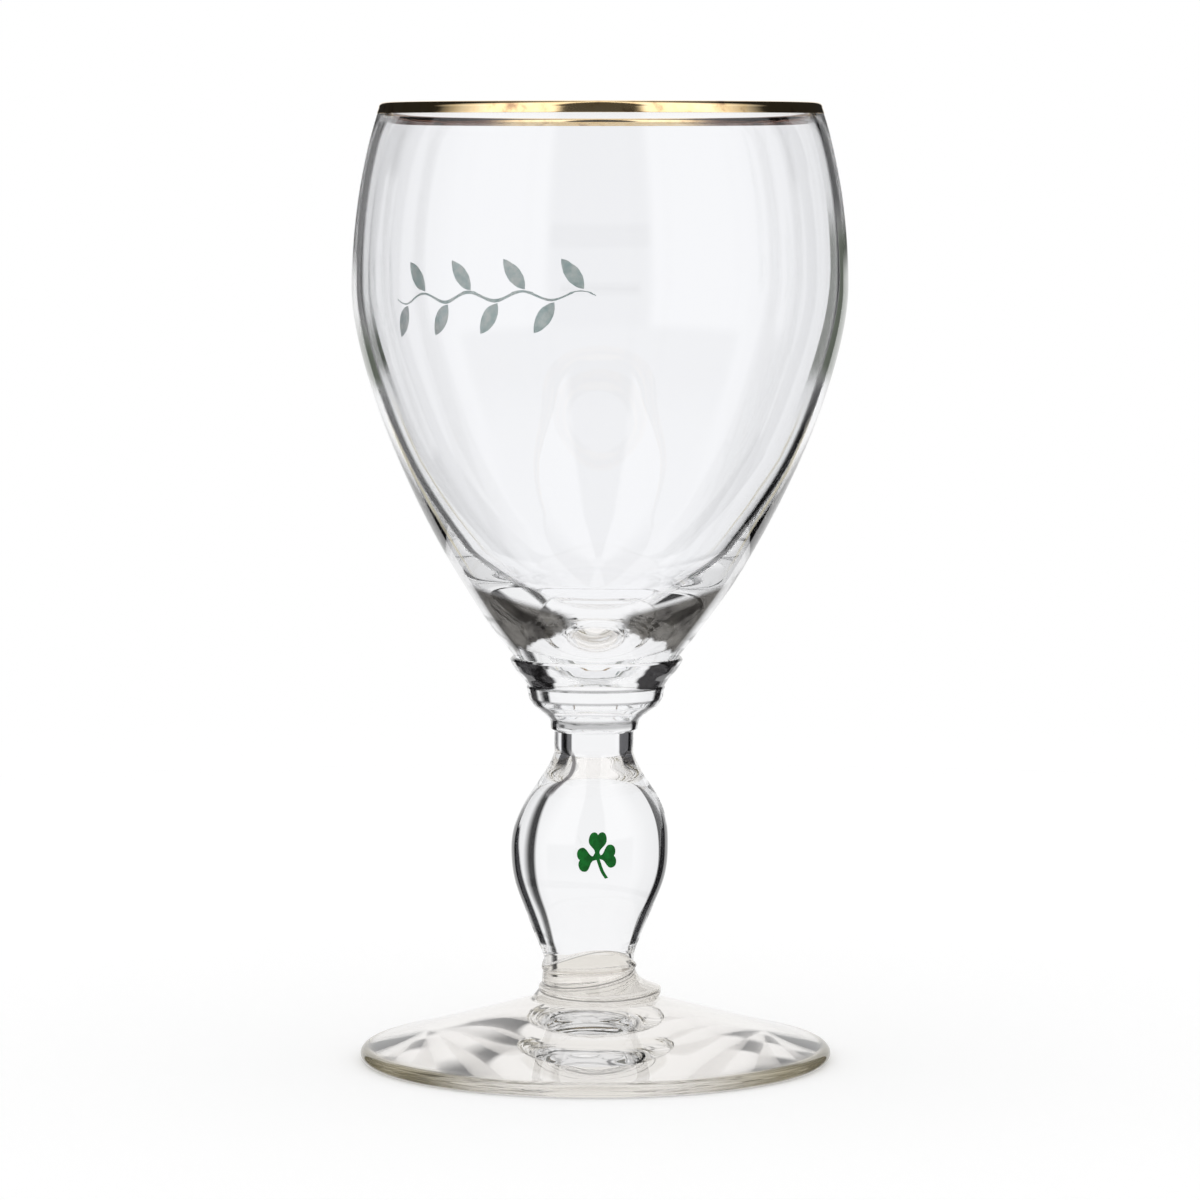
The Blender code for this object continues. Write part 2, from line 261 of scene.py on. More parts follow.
# Collar outline, from the bowl down
collar_line = spaced(
    rounded(
        [
            (BOWL_BASE_R, BOWL_SEAM_Z),
            (12.4 * MM, 59.4 * MM),
            (12.65 * MM, 59.1 * MM),
            (12.4 * MM, 58.5 * MM),
            (11.7 * MM, 57.4 * MM),
            (10.75 * MM, 56.4 * MM),
            (10.05 * MM, 55.3 * MM),
            (10.15 * MM, 55.0 * MM),
            (9.8 * MM, 53.4 * MM),
            (9.15 * MM, 52.4 * MM),
            (7.6 * MM, 51.3 * MM),
            (6.6 * MM, 50.3 * MM),
            (6.45 * MM, 49.9 * MM),
            (6.35 * MM, 48.9 * MM),
            (NECK_R, NECK_SEAM_Z),
        ],
        [r * MM for r in (0.05, 0.12, 1.2, 3, 2, 0.15, 0.15, 1.5, 1.5, 2, 1.2, 0.2, 0.2, 0.15)],
    ),
    0.4 * MM,
)

# Joint outline, from the stem down
joint_height = JOINT_SEAM_Z - FOOT_SEAM_Z
joint_line = spaced(
    bezier(
        (STEM_LOW_R, JOINT_SEAM_Z),
        (STEM_LOW_R - 1.4 * MM, JOINT_SEAM_Z - 0.34 * joint_height),
        (STEM_LOW_R - 1.5 * MM, FOOT_SEAM_Z + 0.28 * joint_height),
        (JOINT_LOW_R, FOOT_SEAM_Z),
        60,
    ),
    0.12 * MM,
)


def front_angle(angle):
    """Angle from the front, growing towards the right, from -pi to pi."""
    return (angle + math.pi / 2 + math.pi) % math.tau - math.pi


def bump_at(distance, width):
    return np.exp(-((distance / width) ** 2))


# The joint's ledge and groove: heights and sways in mm, and the ledge's turn
LEDGE_Z = 15.55
LEDGE_SWAY = 1.35
LEDGE_TURN = 0.2
GROOVE_Z = 12.56
GROOVE_RIGHT = 1.03
GROOVE_FRONT = -0.66
LOBE_REACH = 1.7


def wrung(angle, r, z):
    """Folds that wringing left in the joint: a slanting ledge, a pair of grooves, a ridge and a lobe."""
    a = front_angle(angle)
    z_mm = z / MM
    fade = step((JOINT_SEAM_Z / MM - z_mm) / 0.5) * step((z_mm - FOOT_SEAM_Z / MM) / 0.8)
    under = LEDGE_Z + LEDGE_SWAY * np.cos(2 * (a - LEDGE_TURN)) - z_mm
    groove = z_mm - (GROOVE_Z + GROOVE_RIGHT * np.sin(a) + GROOVE_FRONT * np.cos(a))
    ridge = z_mm - (10.75 - 0.6 * np.cos(a - 0.2))
    move = 0.3 * step(under / 0.35 + 0.5)
    move += 0.35 * bump_at(under - 0.45, 0.4) * bump_at(np.abs(a) - 1.25, 0.35)
    move -= 0.26 * bump_at(groove, 0.13) + 0.2 * bump_at(groove + 0.36, 0.11)
    move += 0.22 * bump_at(ridge, 0.2) - 0.12 * bump_at(ridge + 0.4, 0.18)
    move += LOBE_REACH * bump_at(z_mm - 10.55, 0.95) * bump_at(a - 1.65, 0.62)
    return r + move * fade * MM, z


# Foot outline, from the joint out over the edge and in underneath
FOOT_TOP = (FOOT_R - 1.2 * MM, 2.2 * MM)
FOOT_RING = (33.0 * MM, 0.0)
foot_line = joined(
    bezier(
        (JOINT_LOW_R, FOOT_SEAM_Z),
        (0.52 * FOOT_R, 6.45 * MM),
        (0.86 * FOOT_R, 2.95 * MM),
        FOOT_TOP,
        40,
    ),
    bezier(FOOT_TOP, (FOOT_R + 0.35 * MM, 1.76 * MM), (FOOT_R + 0.2 * MM, 0.0), FOOT_RING, 16),
    bezier(FOOT_RING, (23.0 * MM, 0.8 * MM), (13.0 * MM, 4.0 * MM), (0.0, 4.0 * MM), 60),
)
foot_line = spaced(foot_line, 0.8 * MM)

bowl = shell("bowl_glass", bowl_line)
collar = shell("collar_glass", collar_line[::-1])
stem = shell("stem_glass", stem_line[::-1])
joint = shell("joint_glass", joint_line[::-1], wrung)
foot = shell("foot_glass", foot_line[::-1])

# Gold rim over the lip
gold_path = joined(
    [(radius_at(bowl_side, z), z) for z in np.linspace(lip_z - 1.6 * MM, lip_z - lip_r - 0.02 * MM, 8)],
    lip,
    [(RIM_R - LIP_THICKNESS, lip_z - lip_r - 0.5 * MM)],
)
tangent = np.gradient(gold_path, axis=0)
tangent /= np.linalg.norm(tangent, axis=1)[:, None]
normal = np.stack([tangent[:, 1], -tangent[:, 0]], 1)
gold_section = joined(gold_path + normal * 0.05 * MM, (gold_path + normal * 0.015 * MM)[::-1])
gold = shell("gold_band", gold_section, closed=True)


def film(name, outline, angle, height, surface, facet=0.35 * MM, lift=0.015 * MM, thick=0.04 * MM):
    """A thin patch that wraps a flat outline onto a turned surface."""
    mesh = bmesh.new()
    mesh.faces.new([mesh.verts.new((x, y, 0)) for x, y in outline])
    for axis in range(2):
        low = min(p[axis] for p in outline)
        high = max(p[axis] for p in outline)
        cuts = math.ceil((high - low) / facet)
        for i in range(1, cuts):
            place = [0.0, 0.0, 0.0]
            place[axis] = low + (high - low) * i / cuts
            across = [0.0, 0.0, 0.0]
            across[axis] = 1.0
            geometry = list(mesh.verts) + list(mesh.edges) + list(mesh.faces)
            bmesh.ops.bisect_plane(mesh, geom=geometry, plane_co=place, plane_no=across, dist=1e-8)
    bmesh.ops.triangulate(mesh, faces=list(mesh.faces))
    sheet = bmesh.ops.extrude_face_region(mesh, geom=list(mesh.faces))
    top = [v for v in sheet["geom"] if isinstance(v, bmesh.types.BMVert)]
    bmesh.ops.translate(mesh, verts=top, vec=(0, 0, thick))
    middle = float(radius_at(surface, height))
    for v in mesh.verts:
        z = height + v.co.y
        reach = float(radius_at(surface, z)) + lift + v.co.z
        turn = angle + v.co.x / middle
        v.co = (reach * math.cos(turn) + float(lean(z)), reach * math.sin(turn), z)
    bmesh.ops.recalc_face_normals(mesh, faces=list(mesh.faces))
    data = bpy.data.meshes.new(name)
    mesh.to_mesh(data)
    mesh.free()
    part = bpy.data.objects.new(name, data)
    bpy.context.scene.collection.objects.link(part)
    return part


def turned(line, angle):
    c, s = math.cos(angle), math.sin(angle)
    return [(x * c - y * s, x * s + y * c) for x, y in line]


def clover_leaf(length, width, direction):
    """A heart leaf with a narrow neck, from near the middle of the clover and back."""
    neck = 0.33 * MM
    wide = width / 2
    half = joined(
        bezier((neck, 0.2 * length), (neck, 0.4 * length), (wide, 0.45 * length), (wide, 0.7 * length), 12),
        bezier(
            (wide, 0.7 * length),
            (wide, 1.07 * length),
            (0.1 * width, 1.07 * length),
            (0, 0.9 * length),
            16,
        ),
    )
    heart = [tuple(p) for p in half] + [(-x, y) for x, y in half[-2::-1]]
    return turned(heart, direction - math.pi / 2)


def clover_outline():
    points = clover_leaf(2.75 * MM, 3.4 * MM, math.radians(6))
    points += clover_leaf(3.65 * MM, 2.65 * MM, math.radians(90))
    points += clover_leaf(2.8 * MM, 3.55 * MM, math.radians(188))
    length = 3.1 * MM
    width = 0.47 * MM
    stalk = bezier(
        (-0.2 * width, -0.3 * MM),
        (0.1 * length, -0.5 * length),
        (0.15 * length, -0.7 * length),
        (0.4 * length, -length),
        12,
    )
    points += [tuple(p) for p in stalk]
    points += [(x + width, y + 0.3 * width) for x, y in stalk[::-1]]
    return points


LEAF_COUNT = 8
GARLAND_Z = 110.6 * MM
GARLAND_START = math.radians(91.0)
GARLAND_LENGTH = math.radians(60.0) * float(radius_at(bowl_side, GARLAND_Z))
LEAF_STEP = GARLAND_LENGTH / LEAF_COUNT
LEAF_LENGTH = 5.8 * MM
LEAF_WIDTH = 2.5 * MM
LEAF_LEAN = math.radians(38)
VINE_WIDTH = 0.5 * MM


def vine_height(x):
    return 0.7 * MM * math.sin(math.tau * x / (2 * LEAF_STEP))


def vine_outline():
    upper = []
    lower = []
    for share in np.linspace(0, 1, 121):
        x = share * GARLAND_LENGTH
        half = VINE_WIDTH / 2 * (0.35 + 0.65 * math.sin(math.pi * share))
        upper.append((x, vine_height(x) + half))
        lower.append((x, vine_height(x) - half))
    return lower + upper[::-1]


def leaf_outline(x, side):
    edge = bezier(
        (0.0, 0.0),
        (0.75 * LEAF_WIDTH, 0.3 * LEAF_LENGTH),
        (0.5 * LEAF_WIDTH, 0.75 * LEAF_LENGTH),
        (0.0, LEAF_LENGTH),
        16,
    )
    whole = [tuple(p) for p in edge[:-1]] + [(-a, b) for a, b in edge[:0:-1]]
    base = vine_height(x) + side * (VINE_WIDTH / 2 + 0.1 * MM)
    return [(x + a, base + side * b) for a, b in turned(whole, -LEAF_LEAN)][::side]


clover = film("clover_print", clover_outline(), math.radians(-84.5), 31.25 * MM, stem_line)
vine = film("vine_print", vine_outline(), GARLAND_START, GARLAND_Z, bowl_side)
leaves = []
for n in range(LEAF_COUNT):
    side = 1 if n % 2 == 0 else -1
    outline = leaf_outline((n + 0.4) * LEAF_STEP, side)
    leaves.append(film(f"leaf_print_{n + 1}", outline, GARLAND_START, GARLAND_Z, bowl_side))


# Materials
def new_material(name):
    material = bpy.data.materials.new(name)
    material.use_nodes = True
    tree = material.node_tree
    shader = tree.nodes["Principled BSDF"]
    return material, tree, shader


def noise_node(tree, scale, detail, rough=0.5):
    place = tree.nodes.new("ShaderNodeTexCoord")
    node = tree.nodes.new("ShaderNodeTexNoise")
    node.inputs["Scale"].default_value = scale
    node.inputs["Detail"].default_value = detail
    node.inputs["Roughness"].default_value = rough
    tree.links.new(place.outputs["Object"], node.inputs["Vector"])
    return node


def ramp_node(tree, source, stops):
    node = tree.nodes.new("ShaderNodeValToRGB")
    ramp = node.color_ramp
    while len(ramp.elements) < len(stops):
        ramp.elements.new(0.5)
    for element, (place, colour) in zip(ramp.elements, stops):
        element.position = place
        element.color = (*colour, 1) if len(colour) == 3 else colour
    tree.links.new(source, node.inputs["Fac"])
    return node


def calc(tree, operation, a, b=None):
    node = tree.nodes.new("ShaderNodeMath")
    node.operation = operation
    for socket, value in zip(node.inputs, (a, b)):
        if isinstance(value, (int, float)):
            socket.default_value = value
        elif value is not None:
            tree.links.new(value, socket)
    return node.outputs[0]


def rise(tree, value, low, high):
    """0 below low, 1 above high and smooth between; the other way round when low is the larger."""
    node = tree.nodes.new("ShaderNodeMapRange")
    node.interpolation_type = "SMOOTHSTEP"
    node.inputs["From Min"].default_value = min(low, high)
    node.inputs["From Max"].default_value = max(low, high)
    node.inputs["To Min"].default_value = 0.0 if low < high else 1.0
    node.inputs["To Max"].default_value = 1.0 if low < high else 0.0
    tree.links.new(value, node.inputs["Value"])
    return node.outputs["Result"]


def between(tree, value, low, high, soft):
    over = rise(tree, value, low - soft, low + soft)
    below = rise(tree, value, high + soft, high - soft)
    return calc(tree, "MULTIPLY", over, below)


def blend(tree, share, a, b):
    node = tree.nodes.new("ShaderNodeMix")
    node.data_type = "RGBA"
    tree.links.new(share, node.inputs[0])
    for socket, value in ((node.inputs[6], a), (node.inputs[7], b)):
        if isinstance(value, tuple):
            socket.default_value = (*value, 1)
        else:
            tree.links.new(value, socket)
    return node.outputs[2]


def product(tree, *values):
    out = values[0]
    for value in values[1:]:
        out = calc(tree, "MULTIPLY", out, value)
    return out


def coordinates(tree, kind):
    """The x, y and z of the object's own coordinates, kind Object, or of its surface, kind Normal."""
    place = tree.nodes.new("ShaderNodeTexCoord")
    split = tree.nodes.new("ShaderNodeSeparateXYZ")
    tree.links.new(place.outputs[kind], split.inputs[0])
    return split.outputs


def from_axis(tree, x, y):
    return calc(tree, "SQRT", calc(tree, "ADD", calc(tree, "MULTIPLY", x, x), calc(tree, "MULTIPLY", y, y)))


def grain(tree, shader, source, rough_low, rough_high, strength):
    """Roughness and a fine bump that follow a noise."""
    rough = tree.nodes.new("ShaderNodeMapRange")
    rough.inputs["To Min"].default_value = rough_low
    rough.inputs["To Max"].default_value = rough_high
    tree.links.new(source, rough.inputs["Value"])
    tree.links.new(rough.outputs["Result"], shader.inputs["Roughness"])
    bump = tree.nodes.new("ShaderNodeBump")
    bump.inputs["Strength"].default_value = strength
    bump.inputs["Distance"].default_value = 0.0001
    tree.links.new(source, bump.inputs["Height"])
    tree.links.new(bump.outputs["Normal"], shader.inputs["Normal"])


def front_face(tree):
    """1 on the outside of the glass and 0 for light that is already in it."""
    back = tree.nodes.new("ShaderNodeNewGeometry").outputs["Backfacing"]
    return calc(tree, "SUBTRACT", 1.0, back)


class Glass:
    """Clear glass whose edges may carry painted shade and painted highlights.

    side is 0 where a turned wall faces the eye and 1 at its outline.
    """

    def __init__(self, name, colour, dull_high=0.02, lean_x=0.0):
        self.material, self.tree, self.shader = new_material(name)
        tree = self.tree
        self.colour = colour
        self.through = None
        self.shader.inputs["Transmission Weight"].default_value = 1.0
        self.shader.inputs["IOR"].default_value = 1.52
        x, self.y, self.z = coordinates(tree, "Object")
        self.x = calc(tree, "SUBTRACT", x, lean_x)
        self.r = from_axis(tree, self.x, self.y)
        upright = coordinates(tree, "Normal")["Z"]
        self.facing = tree.nodes.new("ShaderNodeLayerWeight").outputs["Facing"]
        flat = calc(tree, "SUBTRACT", 1.0, calc(tree, "MULTIPLY", upright, upright))
        level = calc(tree, "SQRT", calc(tree, "MAXIMUM", flat, 0.0004))
        along = calc(tree, "DIVIDE", calc(tree, "SUBTRACT", 1.0, self.facing), level)
        along = calc(tree, "MINIMUM", along, 1.0)
        self.side = calc(tree, "SQRT", calc(tree, "SUBTRACT", 1.0, calc(tree, "MULTIPLY", along, along)))
        haze = noise_node(tree, 60, 4)
        dull = tree.nodes.new("ShaderNodeMapRange")
        dull.inputs["From Min"].default_value = 0.55
        dull.inputs["From Max"].default_value = 0.8
        dull.inputs["To Max"].default_value = dull_high
        tree.links.new(haze.outputs["Fac"], dull.inputs["Value"])
        tree.links.new(dull.outputs["Result"], self.shader.inputs["Roughness"])
        wave = noise_node(tree, 45, 1)
        bump = tree.nodes.new("ShaderNodeBump")
        bump.inputs["Strength"].default_value = 0.02
        bump.inputs["Distance"].default_value = 0.001
        tree.links.new(wave.outputs["Fac"], bump.inputs["Height"])
        tree.links.new(bump.outputs["Normal"], self.shader.inputs["Normal"])

    def tint(self, mask, colour, milky=0.0):
        """Colours the glass under the mask with painted shade or a painted highlight. milky is how much
        light no longer passes straight through.
        """
        tree = self.tree
        self.colour = blend(tree, mask, self.colour, colour)
        if milky:
            keep = calc(tree, "SUBTRACT", 1.0, calc(tree, "MULTIPLY", mask, milky))
            if self.through is not None:
                keep = calc(tree, "MULTIPLY", self.through, keep)
            self.through = keep

    def finish(self):
        if isinstance(self.colour, tuple):
            self.shader.inputs["Base Color"].default_value = (*self.colour, 1)
        else:
            self.tree.links.new(self.colour, self.shader.inputs["Base Color"])
        if self.through is not None:
            self.tree.links.new(self.through, self.shader.inputs["Transmission Weight"])
        return self.material


CLEAR = (0.984, 0.988, 1.0)
SHADE = (0.02, 0.02, 0.022)


def bowl_glass():
    glass = Glass("bowl_glass", CLEAR, lean_x=0.6 * MM)
    tree = glass.tree
    wobble = noise_node(tree, 55, 2)
    drift = calc(tree, "MULTIPLY", calc(tree, "SUBTRACT", wobble.outputs["Fac"], 0.5), 0.008)
    level = calc(tree, "ADD", glass.z, drift)
    # Painted shade and highlight on the wall seen on edge: pale grey shade above, dark grey-green shade at
    # the belly, cream highlight streaks lower down
    share = calc(tree, "DIVIDE", level, HEIGHT)
    edges = [(0.5, 0.86), (0.62, 0.925), (0.82, 0.962), (1.0, 0.958)]
    start = ramp_node(tree, share, [(z, (u,) * 3) for z, u in edges])
    depth = calc(tree, "SUBTRACT", glass.side, start.outputs["Color"])
    on_edge = rise(tree, depth, 0.0, 0.006)
    high = calc(tree, "ADD", 0.116, calc(tree, "MULTIPLY", glass.x, 0.22))
    below_top = rise(tree, calc(tree, "SUBTRACT", level, high), 0.004, -0.004)
    belt = product(tree, rise(tree, level, 0.0985, 0.1025), below_top)
    low = product(tree, rise(tree, level, 0.098, 0.09), rise(tree, level, 0.070, 0.078))
    glass.tint(product(tree, on_edge, rise(tree, level, 0.092, 0.1), 0.3), (0.72, 0.72, 0.74), 0.6)
    streaky = noise_node(tree, 120, 2)
    streak = calc(tree, "SUBTRACT", depth, calc(tree, "MULTIPLY", streaky.outputs["Fac"], 0.03))
    thin = between(tree, streak, 0.012, 0.026, 0.004)
    glass.tint(product(tree, thin, low), (0.93, 0.86, 0.66), 0.5)
    glass.tint(product(tree, on_edge, belt), (0.19, 0.215, 0.175), 0.92)
    # Painted shade: a thin dark line where the inside wall turns away
    within = calc(tree, "SUBTRACT", glass.r, inner_edge(tree, glass.z))
    line = product(
        tree,
        between(tree, glass.facing, 0.243, 0.26, 0.004),
        rise(tree, within, 0.0007, 0.0004),
        calc(tree, "SUBTRACT", 1.0, front_face(tree)),
        rise(tree, glass.z, 0.069, 0.078),
        rise(tree, glass.z, 0.1385, 0.1365),
    )
    glass.tint(line, SHADE, 0.8)
    # Painted shade on the solid base: a dark wing on each side, with pale tongues under it
    ragged = calc(tree, "SUBTRACT", noise_node(tree, 420, 2).outputs["Fac"], 0.5)
    ragged = calc(tree, "MULTIPLY", ragged, 0.0032)
    roof = calc(tree, "ADD", 0.065, calc(tree, "MULTIPLY", glass.side, 0.0066))
    sill = calc(tree, "SUBTRACT", 0.0688, calc(tree, "MULTIPLY", glass.side, 0.0093))
    sill = calc(tree, "ADD", sill, ragged)
    wing = product(
        tree,
        rise(tree, calc(tree, "SUBTRACT", roof, glass.z), 0.0, 0.0014),
        rise(tree, calc(tree, "SUBTRACT", glass.z, sill), 0.0, 0.0006),
        between(tree, glass.side, 0.42, 0.955, 0.04),
        front_face(tree),
        rise(tree, within, 0.0004, 0.001),
    )
    shades = [(0.3, (0.03, 0.027, 0.025)), (0.7, (0.17, 0.16, 0.145))]
    patchy = ramp_node(tree, noise_node(tree, 260, 2).outputs["Fac"], shades)
    glass.tint(wing, patchy.outputs["Color"], 0.6)
    return glass.finish()


def inner_edge(tree, z):
    """The inside radius of the bowl at a height."""
    most = 0.04
    line = joined(inner_side, inner_floor)
    stops = []
    for height in np.linspace(0.066, 0.14, 24):
        stops.append((height / HEIGHT, (float(radius_at(line, height)) / most,) * 3))
    ramp = ramp_node(tree, calc(tree, "DIVIDE", z, HEIGHT), stops)
    return calc(tree, "MULTIPLY", ramp.outputs["Color"], most)


def collar_glass():
    glass = Glass("collar_glass", CLEAR)
    tree = glass.tree
    # Painted shade: dark edges, wide on the flare and narrow on the ring and the taper under it
    flare = rise(tree, glass.z, 0.0549, 0.0556)
    start = calc(tree, "SUBTRACT", 0.84, calc(tree, "MULTIPLY", flare, 0.2))
    dark = product(
        tree,
        rise(tree, calc(tree, "SUBTRACT", glass.side, start), 0.0, 0.05),
        rise(tree, glass.side, 0.975, 0.95),
        front_face(tree),
    )
    glass.tint(dark, (0.02, 0.019, 0.02), 0.6)
    # Painted shade along the creases above and below the ring, and where the taper meets the neck
    for crease, reach, strength in ((0.0552, 0.0003, 0.6), (0.0533, 0.0003, 0.5), (0.0499, 0.0009, 0.55)):
        off = calc(tree, "ABSOLUTE", calc(tree, "SUBTRACT", glass.z, crease))
        line = rise(tree, off, reach, reach / 3)
        glass.tint(product(tree, line, front_face(tree), strength), SHADE, 0.6)
    return glass.finish()


def stem_glass():
    glass = Glass("stem_glass", CLEAR, lean_x=-0.35 * MM)
    tree = glass.tree
    way = calc(tree, "DIVIDE", glass.x, glass.r)
    # Painted shade: a dark band inside the neck's outline, further in on the left
    neck = rise(tree, glass.z, 0.0425, 0.0442)
    edge = calc(tree, "SUBTRACT", glass.side, calc(tree, "MULTIPLY", way, 0.07))
    glass.tint(product(tree, between(tree, edge, 0.6, 0.885, 0.02), neck), SHADE)
    # Painted shade: a dark S-shaped band on the left that runs from the neck round the shoulder
    across = calc(tree, "ABSOLUTE", way)
    front = product(tree, rise(tree, glass.y, 0.0, -0.001), front_face(tree))
    on_left = product(tree, rise(tree, way, 0.0, -0.1), front)
    share = calc(tree, "DIVIDE", glass.z, HEIGHT)
    bends = [
        (39.8, 0.7),
        (40.6, 0.66),
        (41.4, 0.6),
        (42.3, 0.49),
        (43.0, 0.43),
        (44.2, 0.42),
        (45.2, 0.47),
        (46.2, 0.56),
    ]
    path = ramp_node(tree, share, [(z * MM / HEIGHT, (u,) * 3) for z, u in bends])
    off = calc(tree, "SUBTRACT", across, path.outputs["Color"])
    height = between(tree, glass.z, 0.0398, 0.0458, 0.0006)
    s_band_shade = product(tree, between(tree, off, -0.03, 0.07, 0.025), height, on_left)
    glass.tint(s_band_shade, (0.2, 0.19, 0.195), 0.7)
    # Painted shade: the knop's dark outline
    height = between(tree, glass.z, 0.0235, 0.0385, 0.003)
    outline = product(tree, between(tree, glass.side, 0.94, 0.988, 0.008), height, front_face(tree))
    glass.tint(outline, SHADE, 0.9)
    # Painted shade: the dark edge of the lower stem, the same all round
    slant = calc(tree, "SUBTRACT", glass.side, calc(tree, "MULTIPLY", glass.z, 3.2))
    height = between(tree, glass.z, 0.0172, 0.035, 0.0006)
    band = between(tree, slant, 0.8, 0.91, 0.015)
    glass.tint(product(tree, band, height, front_face(tree)), SHADE, 0.6)
    return glass.finish()


def joint_glass():
    glass = Glass("joint_glass", CLEAR)
    tree = glass.tree
    s = calc(tree, "DIVIDE", glass.x, glass.r)
    c = calc(tree, "DIVIDE", glass.y, calc(tree, "MULTIPLY", glass.r, -1.0))
    z = calc(tree, "DIVIDE", glass.z, MM)

    def off_line(middle, *waves):
        """Height above a line round the joint, in mm. waves are pairs of a size and what it follows."""
        line = middle
        for size, wave in waves:
            line = calc(tree, "ADD", calc(tree, "MULTIPLY", wave, size), line)
        return calc(tree, "SUBTRACT", z, line)

    double_c = calc(tree, "SUBTRACT", calc(tree, "MULTIPLY", c, c), calc(tree, "MULTIPLY", s, s))
    double_s = calc(tree, "MULTIPLY", calc(tree, "MULTIPLY", s, c), 2.0)
    ledge_c = LEDGE_SWAY * math.cos(2 * LEDGE_TURN)
    ledge_s = LEDGE_SWAY * math.sin(2 * LEDGE_TURN)
    ledge = off_line(LEDGE_Z, (ledge_c, double_c), (ledge_s, double_s))
    groove = off_line(GROOVE_Z, (GROOVE_RIGHT, s), (GROOVE_FRONT, c))
    ridge = off_line(10.4, (-0.59, c), (-0.12, s))
    # Painted shade: the joint is tinted beige below its ledge
    glass.tint(rise(tree, ledge, 0.1, -0.1), (0.83, 0.80, 0.75))
    outside = front_face(tree)
    # Painted shade: dark lines along the ledge, the grooves and the ridge
    creases = (
        (ledge, -0.12, 0.05, 0.5),
        (groove, -0.14, 0.0, 0.9),
        (groove, -0.5, -0.4, 0.6),
        (ridge, -0.14, 0.04, 0.8),
    )
    for crease, low, high, depth in creases:
        line = between(tree, crease, low, high, 0.04)
        glass.tint(product(tree, line, outside, depth), (0.1, 0.095, 0.09), 0.5)
    return glass.finish()


def foot_glass():
    glass = Glass("foot_glass", (0.935, 0.912, 0.885), 0.045)
    tree = glass.tree
    # Painted shade: the foot's rim is tinted brown, most towards its left and right
    tips = rise(tree, calc(tree, "DIVIDE", calc(tree, "ABSOLUTE", glass.x), glass.r), 0.3, 0.8)
    strength = calc(tree, "ADD", calc(tree, "MULTIPLY", tips, 0.7), 0.25)
    edge = product(tree, rise(tree, glass.r, 0.0322, 0.0342), strength)
    glass.tint(edge, (0.4, 0.35, 0.22), 0.35)
    return glass.finish()


def gold_material():
    material, tree, shader = new_material("fired_gold")
    shader.inputs["Metallic"].default_value = 1.0
    mottle = noise_node(tree, 420, 4, 0.55).outputs["Fac"]
    golds = [(0.25, (0.46, 0.29, 0.17)), (0.42, (0.92, 0.68, 0.37)), (0.75, (0.98, 0.79, 0.51))]
    colour = ramp_node(tree, mottle, golds)
    # Painted shade: its underside, seen through the far wall, is darkened to brown towards both ends
    x, y = coordinates(tree, "Object")[:2]
    x = calc(tree, "SUBTRACT", x, 0.7 * MM)
    ends = rise(tree, calc(tree, "DIVIDE", calc(tree, "ABSOLUTE", x), from_axis(tree, x, y)), 0.36, 0.6)
    normal_x, normal_y = coordinates(tree, "Normal")[:2]
    outward = calc(tree, "MULTIPLY", normal_x, x)
    outward = calc(tree, "ADD", outward, calc(tree, "MULTIPLY", normal_y, y))
    ends = product(tree, ends, rise(tree, y, -0.002, 0.002), rise(tree, outward, 0.0, -0.004))
    brown = blend(tree, ends, colour.outputs["Color"], (0.16, 0.085, 0.06))
    tree.links.new(brown, shader.inputs["Base Color"])
    grain(tree, shader, mottle, 0.04, 0.14, 0.05)
    return material


def enamel_material(name, dark, light, rough_low, rough_high, sheer=0.0):
    material, tree, shader = new_material(name)
    shader.inputs["Transmission Weight"].default_value = sheer
    shader.inputs["Specular IOR Level"].default_value = 0.2
    cloud = noise_node(tree, 700, 5, 0.6).outputs["Fac"]
    colour = ramp_node(tree, cloud, [(0.35, dark), (0.65, light)])
    tree.links.new(colour.outputs["Color"], shader.inputs["Base Color"])
    grain(tree, shader, cloud, rough_low, rough_high, 0.2)
    return material


gold_paint = gold_material()
green = enamel_material("green_enamel", (0.0005, 0.085, 0.008), (0.002, 0.18, 0.02), 0.4, 0.55)
grey = enamel_material("grey_enamel", (0.42, 0.6, 0.58), (0.8, 0.86, 0.82), 0.35, 0.55, 0.5)

dressed = [
    (bowl, "bowl", bowl_glass(), "clear_glass"),
    (collar, "collar", collar_glass(), "clear_glass"),
    (stem, "stem", stem_glass(), "clear_glass"),
    (joint, "stem_joint", joint_glass(), "clear_glass"),
    (foot, "foot", foot_glass(), "clear_glass"),
    (gold, "gold_rim", gold_paint, "fired_gold"),
    (clover, "clover", green, "green_enamel"),
    (vine, "vine", grey, "grey_enamel"),
]
for n, leaf in enumerate(leaves):
    dressed.append((leaf, f"leaf_{n + 1}", grey, "grey_enamel"))
for piece, node, paint, slot in dressed:
    piece.data.materials.append(paint)
    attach(piece, "root")
    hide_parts(node)

# Floor: a white disc that fades out at its rim
FLOOR_R = 0.5
FLOOR_FADE = 0.15
FLOOR_SIDES = 64
points = [(0, 0, 0)]
for share in (0.2, 0.6, 1.0):
    for j in range(FLOOR_SIDES):
        turn = j * math.tau / FLOOR_SIDES
        points.append((share * FLOOR_R * math.cos(turn), share * FLOOR_R * math.sin(turn), 0))
faces = [(0, 1 + j, 1 + (j + 1) % FLOOR_SIDES) for j in range(FLOOR_SIDES)]
for low in (1, 1 + FLOOR_SIDES):
    high = low + FLOOR_SIDES
    for j in range(FLOOR_SIDES):
        k = (j + 1) % FLOOR_SIDES
        faces.append((low + j, high + j, high + k, low + k))
floor = mesh_object("floor", points, faces)
floor.location.z = -0.00002
material, tree, shader = new_material("floor_white")
shader.inputs["Base Color"].default_value = (0.8, 0.8, 0.8, 1)
shader.inputs["Roughness"].default_value = 1.0
shader.inputs["Specular IOR Level"].default_value = 0.0
shader.inputs["Emission Color"].default_value = (1, 1, 1, 1)
